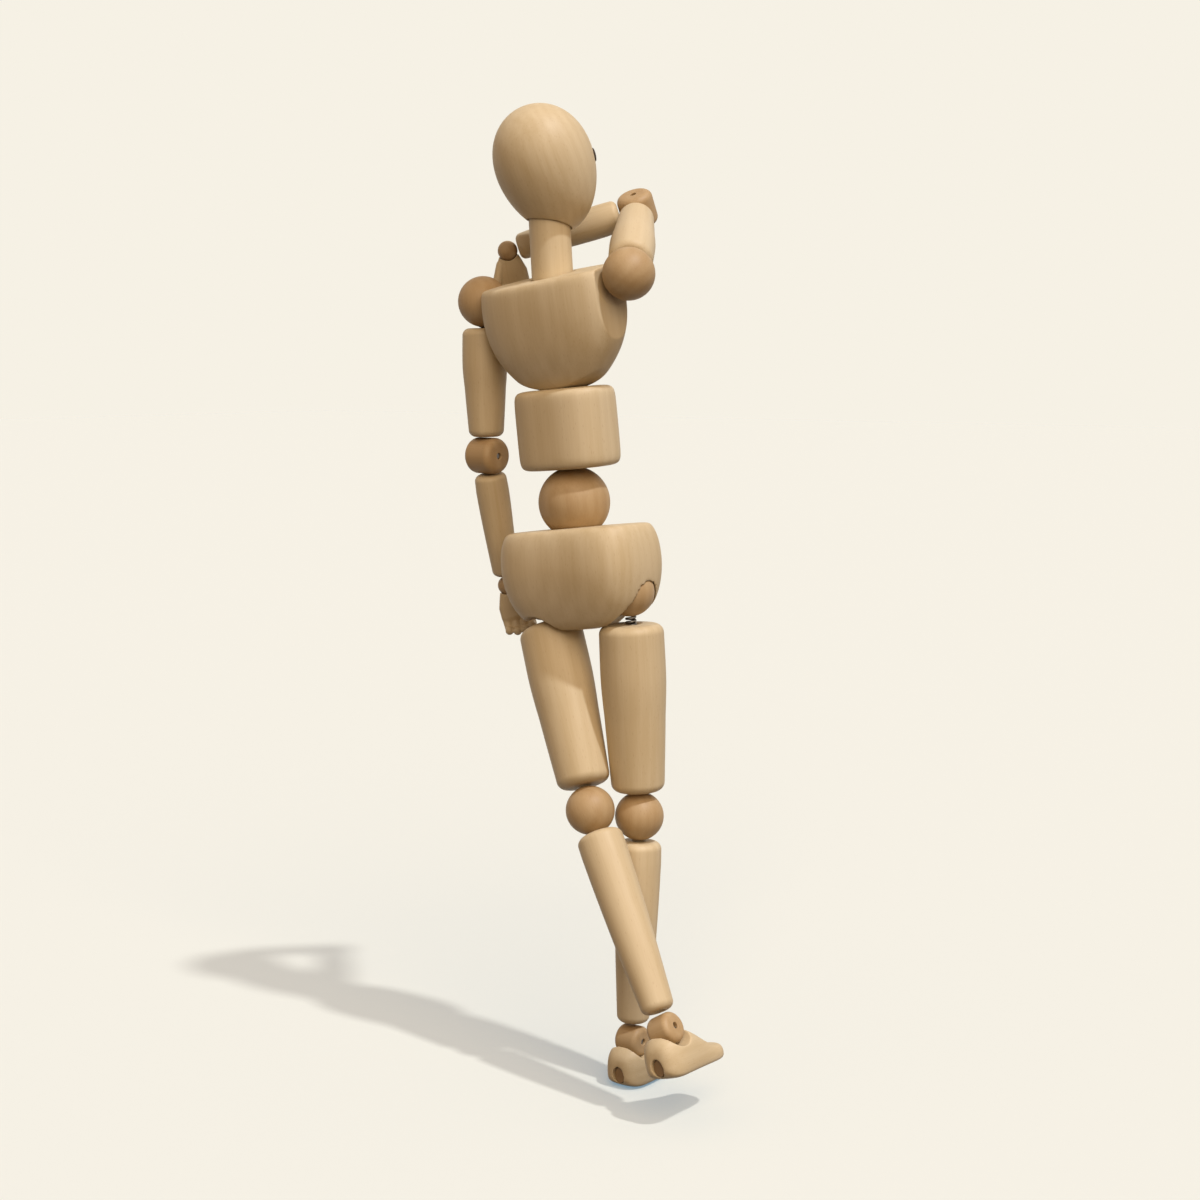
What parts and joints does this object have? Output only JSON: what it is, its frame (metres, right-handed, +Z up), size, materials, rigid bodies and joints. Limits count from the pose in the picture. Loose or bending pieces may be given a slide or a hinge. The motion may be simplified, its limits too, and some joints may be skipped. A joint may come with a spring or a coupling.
{
  "type": "wooden artist mannequin",
  "caption": "Jointed wooden artist figure for drawing poses, standing with crossed legs and one forearm raised across the neck.",
  "frame": {"origin": "centre of the mouth of the stand-rod socket under the pelvis", "axes": "+Z is up and runs from the feet to the head; the figure faces -Y, so +X is its left side; metres"},
  "size_m": [0.0996, 0.068, 0.2959],
  "materials": {
    "beech": "turned pale beech under a satin varnish",
    "ball_wood": "turned balls and barrels, warmer in colour, satin varnish",
    "dark_wood": "dark end-grain plug, matt",
    "eye_black": "black-brown lacquer, glossy",
    "steel": "drawn spring steel wire and pins"
  },
  "bodies": {
    "pelvis": {"pelvis": "beech", "pelvis_cross_spring": "steel"},
    "waist_pin": {"waist_pin": "steel"},
    "waist_ball": {"waist_ball": "ball_wood"},
    "abdomen": {"abdomen": "beech", "spine_spring": "steel"},
    "chest": {"chest": "beech", "chest_cross_spring": "steel"},
    "neck_pin": {"neck_pin": "steel"},
    "neck": {"neck": "beech", "neck_spring": "steel"},
    "head": {"head": "beech", "left_eye": "eye_black", "right_eye": "eye_black"},
    "left_shoulder_pin": {"left_shoulder_pin": "steel"},
    "left_shoulder_ball": {"left_shoulder_ball": "ball_wood"},
    "left_upper_arm": {"left_upper_arm": "beech", "left_upper_arm_spring": "steel", "left_elbow_barrel": "ball_wood", "left_elbow_pin": "steel"},
    "left_forearm": {"left_forearm": "beech", "left_forearm_spring": "steel"},
    "left_wrist_pin": {"left_wrist_pin": "steel"},
    "left_wrist_ball": {"left_wrist_ball": "ball_wood"},
    "left_hand": {"left_hand": "beech"},
    "right_shoulder_pin": {"right_shoulder_pin": "steel"},
    "right_shoulder_ball": {"right_shoulder_ball": "ball_wood"},
    "right_upper_arm": {"right_upper_arm": "beech", "right_upper_arm_spring": "steel", "right_elbow_barrel": "ball_wood", "right_elbow_pin": "steel"},
    "right_forearm": {"right_forearm": "beech", "right_forearm_spring": "steel"},
    "right_wrist_pin": {"right_wrist_pin": "steel"},
    "right_wrist_ball": {"right_wrist_ball": "ball_wood"},
    "right_hand": {"right_hand": "beech"},
    "left_hip_pin": {"left_hip_pin": "steel"},
    "left_hip_ball": {"left_hip_ball": "ball_wood"},
    "left_thigh": {"left_thigh": "beech", "left_thigh_spring": "steel"},
    "left_knee_pin": {"left_knee_pin": "steel"},
    "left_knee_ball": {"left_knee_ball": "ball_wood"},
    "left_shin": {"left_shin": "beech", "left_shin_spring": "steel"},
    "left_ankle_barrel": {"left_ankle_barrel": "ball_wood", "left_ankle_pin": "steel"},
    "left_foot": {"left_foot": "beech", "left_heel_plug": "dark_wood"},
    "right_hip_pin": {"right_hip_pin": "steel"},
    "right_hip_ball": {"right_hip_ball": "ball_wood"},
    "right_thigh": {"right_thigh": "beech", "right_thigh_spring": "steel"},
    "right_knee_pin": {"right_knee_pin": "steel"},
    "right_knee_ball": {"right_knee_ball": "ball_wood"},
    "right_shin": {"right_shin": "beech", "right_shin_spring": "steel"},
    "right_ankle_barrel": {"right_ankle_barrel": "ball_wood", "right_ankle_pin": "steel"},
    "right_foot": {"right_foot": "beech", "right_heel_plug": "dark_wood"}
  },
  "joints": [
    {"name": "waist_side_bend", "type": "hinge", "parent": "pelvis", "child": "waist_pin", "pos_m": [0.00422, 0.0066, 0.03827], "axis": [0, 1, 0], "range_deg": [-20, 10]},
    {"name": "waist_bend", "type": "hinge", "parent": "waist_pin", "child": "waist_ball", "pos_m": [0.00422, 0.0066, 0.03827], "axis": [0.9968, 0, -0.0802], "range_deg": [-20, 25]},
    {"name": "waist_turn", "type": "hinge", "parent": "waist_ball", "child": "abdomen", "pos_m": [0.00422, 0.0066, 0.03827], "axis": [0.0801, 0.0471, 0.9957], "range_deg": [-45, 45]},
    {"name": "chest_side_bend", "type": "hinge", "parent": "abdomen", "child": "chest", "pos_m": [0.0093, 0.00959, 0.10139], "axis": [-0.0038, 0.9989, -0.047], "range_deg": [-10, 3]},
    {"name": "neck_side_bend", "type": "hinge", "parent": "chest", "child": "neck_pin", "pos_m": [0.00984, 0.00986, 0.10555], "axis": [-0.006, 0.9979, -0.0642], "range_deg": [-9, 14]},
    {"name": "neck_bend", "type": "hinge", "parent": "neck_pin", "child": "neck", "pos_m": [0.00984, 0.00986, 0.10555], "axis": [0.9991, 0.0033, -0.042], "range_deg": [-13, 11]},
    {"name": "head_turn", "type": "hinge", "parent": "neck", "child": "head", "pos_m": [0.01052, 0.0104, 0.12183], "axis": [0.0419, 0.0331, 0.9986], "range_deg": [-90, 90]},
    {"name": "left_shoulder_raise", "type": "hinge", "parent": "chest", "child": "left_shoulder_pin", "pos_m": [0.03733, 0.0096, 0.09901], "axis": [-0.006, 0.9979, -0.0642], "range_deg": [-90, 0]},
    {"name": "left_shoulder_swing", "type": "hinge", "parent": "left_shoulder_pin", "child": "left_shoulder_ball", "pos_m": [0.03733, 0.0096, 0.09901], "axis": [1, 0.0061, 0.0015], "range_deg": [-50, 38]},
    {"name": "left_arm_turn", "type": "hinge", "parent": "left_shoulder_ball", "child": "left_upper_arm", "pos_m": [0.03733, 0.0096, 0.09901], "axis": [-0.0017, 0.0294, 0.9996], "range_deg": [-36, 90]},
    {"name": "left_elbow_flex", "type": "hinge", "parent": "left_upper_arm", "child": "left_forearm", "pos_m": [0.03741, 0.00821, 0.05153], "axis": [0.9977, -0.0671, 0.0037], "range_deg": [-95, 10]},
    {"name": "left_wrist_tilt", "type": "hinge", "parent": "left_forearm", "child": "left_wrist_pin", "pos_m": [0.03694, -0.00101, 0.01015], "axis": [0.0663, 0.9738, -0.2177], "range_deg": [-55, 25]},
    {"name": "left_wrist_bend", "type": "hinge", "parent": "left_wrist_pin", "child": "left_wrist_ball", "pos_m": [0.03694, -0.00101, 0.01015], "axis": [0.7591, 0.5697, -0.3151], "range_deg": [-50, 30]},
    {"name": "left_hand_turn", "type": "hinge", "parent": "left_wrist_ball", "child": "left_hand", "pos_m": [0.03694, -0.00101, 0.01015], "axis": [0.2825, 0.1478, 0.9478], "range_deg": [-60, 60]},
    {"name": "right_shoulder_raise", "type": "hinge", "parent": "chest", "child": "right_shoulder_pin", "pos_m": [-0.01842, 0.00973, 0.10615], "axis": [-0.006, 0.9979, -0.0642], "range_deg": [-24, 0]},
    {"name": "right_shoulder_swing", "type": "hinge", "parent": "right_shoulder_pin", "child": "right_shoulder_ball", "pos_m": [-0.01842, 0.00973, 0.10615], "axis": [-0.6442, 0.0453, 0.7635], "range_deg": [-80, 0]},
    {"name": "right_arm_turn", "type": "hinge", "parent": "right_shoulder_ball", "child": "right_upper_arm", "pos_m": [-0.01842, 0.00973, 0.10615], "axis": [-0.4818, 0.7512, -0.4511], "range_deg": [-25, 60]},
    {"name": "right_elbow_flex", "type": "hinge", "parent": "right_upper_arm", "child": "right_forearm", "pos_m": [0.00447, -0.02596, 0.12758], "axis": [0.031, -0.4999, -0.8655], "range_deg": [0, 100]},
    {"name": "right_wrist_tilt", "type": "hinge", "parent": "right_forearm", "child": "right_wrist_pin", "pos_m": [0.03716, -0.00209, 0.11496], "axis": [0.636, -0.6581, 0.4029], "range_deg": [-6, 8]},
    {"name": "right_wrist_bend", "type": "hinge", "parent": "right_wrist_pin", "child": "right_wrist_ball", "pos_m": [0.03716, -0.00209, 0.11496], "axis": [0.7974, 0.5797, -0.1677], "range_deg": [-60, 5]},
    {"name": "right_hand_turn", "type": "hinge", "parent": "right_wrist_ball", "child": "right_hand", "pos_m": [0.03716, -0.00209, 0.11496], "axis": [0.0002, 0.2776, 0.9607], "range_deg": [-60, 60]},
    {"name": "left_hip_raise", "type": "hinge", "parent": "pelvis", "child": "left_hip_pin", "pos_m": [0.01774, 0.005, 0.00851], "axis": [0, 1, 0], "range_deg": [-6, 0]},
    {"name": "left_hip_swing", "type": "hinge", "parent": "left_hip_pin", "child": "left_hip_ball", "pos_m": [0.01774, 0.005, 0.00851], "axis": [0.9191, 0.0258, -0.3931], "range_deg": [0, 12]},
    {"name": "left_leg_turn", "type": "hinge", "parent": "left_hip_ball", "child": "left_thigh", "pos_m": [0.01774, 0.005, 0.00851], "axis": [0.3918, -0.1633, 0.9054], "range_deg": [-45, 0]},
    {"name": "left_knee_tilt", "type": "hinge", "parent": "left_thigh", "child": "left_knee_pin", "pos_m": [-0.0091, 0.01619, -0.05352], "axis": [0.0408, 0.9862, 0.1602], "range_deg": [-12, 26]},
    {"name": "left_knee_flex", "type": "hinge", "parent": "left_knee_pin", "child": "left_knee_ball", "pos_m": [-0.0091, 0.01619, -0.05352], "axis": [0.8539, 0.0489, -0.5182], "range_deg": [0, 95]},
    {"name": "left_shin_turn", "type": "hinge", "parent": "left_knee_ball", "child": "left_shin", "pos_m": [-0.0091, 0.01619, -0.05352], "axis": [0.5187, -0.1631, 0.8393], "range_deg": [-45, 45]},
    {"name": "left_ankle_roll", "type": "hinge", "parent": "left_shin", "child": "left_ankle_barrel", "pos_m": [-0.04504, 0.02749, -0.11168], "axis": [0.0435, 0.9854, 0.1646], "range_deg": [-15, 35]},
    {"name": "left_ankle_flex", "type": "hinge", "parent": "left_ankle_barrel", "child": "left_foot", "pos_m": [-0.04504, 0.02749, -0.11168], "axis": [0.966, 0.0005, -0.2585], "range_deg": [-30, 35]},
    {"name": "right_hip_raise", "type": "hinge", "parent": "pelvis", "child": "right_hip_pin", "pos_m": [-0.01546, 0.005, 0.01217], "axis": [0, 1, 0], "range_deg": [0, 7]},
    {"name": "right_hip_swing", "type": "hinge", "parent": "right_hip_pin", "child": "right_hip_ball", "pos_m": [-0.01546, 0.005, 0.01217], "axis": [0.9992, 0, -0.0401], "range_deg": [-21, 0]},
    {"name": "right_leg_turn", "type": "hinge", "parent": "right_hip_ball", "child": "right_thigh", "pos_m": [-0.01546, 0.005, 0.01217], "axis": [0.0401, 0.0209, 0.999], "range_deg": [-45, 45]},
    {"name": "right_knee_tilt", "type": "hinge", "parent": "right_thigh", "child": "right_knee_pin", "pos_m": [-0.01821, 0.00357, -0.05626], "axis": [-0.0008, 0.9998, -0.0209], "range_deg": [-15, 13]},
    {"name": "right_knee_flex", "type": "hinge", "parent": "right_knee_pin", "child": "right_knee_ball", "pos_m": [-0.01821, 0.00357, -0.05626], "axis": [1, 0.0009, 0.0035], "range_deg": [-45, 0]},
    {"name": "right_shin_turn", "type": "hinge", "parent": "right_knee_ball", "child": "right_shin", "pos_m": [-0.01821, 0.00357, -0.05626], "axis": [-0.0034, -0.0436, 0.999], "range_deg": [-45, 45]},
    {"name": "right_ankle_roll", "type": "hinge", "parent": "right_shin", "child": "right_ankle_barrel", "pos_m": [-0.01797, 0.00659, -0.12549], "axis": [-0.0011, 0.999, 0.0436], "range_deg": [-25, 25]},
    {"name": "right_ankle_flex", "type": "hinge", "parent": "right_ankle_barrel", "child": "right_foot", "pos_m": [-0.01797, 0.00659, -0.12549], "axis": [1, 0.0011, 0], "range_deg": [-30, 35]}
  ]
}
